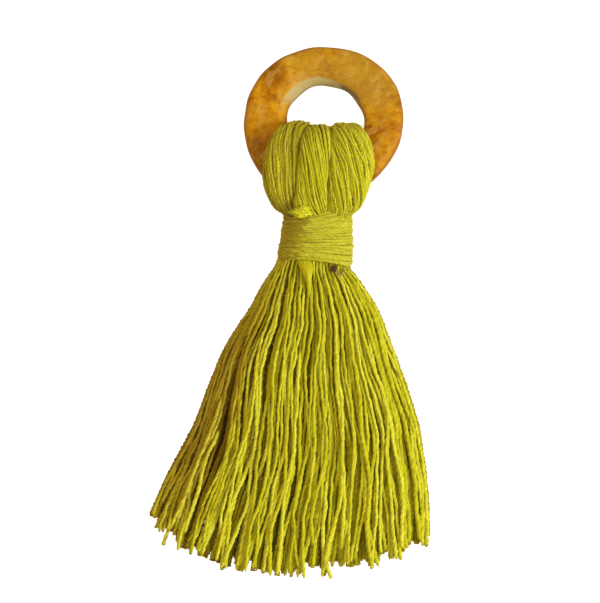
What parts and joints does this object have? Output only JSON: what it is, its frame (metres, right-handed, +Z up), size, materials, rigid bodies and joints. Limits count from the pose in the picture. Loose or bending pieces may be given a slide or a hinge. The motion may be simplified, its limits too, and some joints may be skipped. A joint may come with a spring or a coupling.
{
  "type": "yarn tassel on a ring",
  "caption": "Lime-green yarn tassel with a bound neck and fanned skirt, folded over a flat amber ring that it hangs from.",
  "frame": {"origin": "under the middle of the neck binding, on the surface the tassel lies on", "axes": "+Y along the tassel, up to the ring; +X to the right seen from above; +Z up from the surface"},
  "size_m": [0.0569, 0.1049, 0.0145],
  "materials": {
    "ring": "amber stain with a satin varnish",
    "hank_yarn": "matt, softly twisted cotton yarn",
    "binding_yarn": "matt cotton yarn, closely wound"
  },
  "bodies": {
    "root": {"ring": "ring", "yarn_hank": "hank_yarn", "neck_binding": "binding_yarn"}
  },
  "joints": []
}
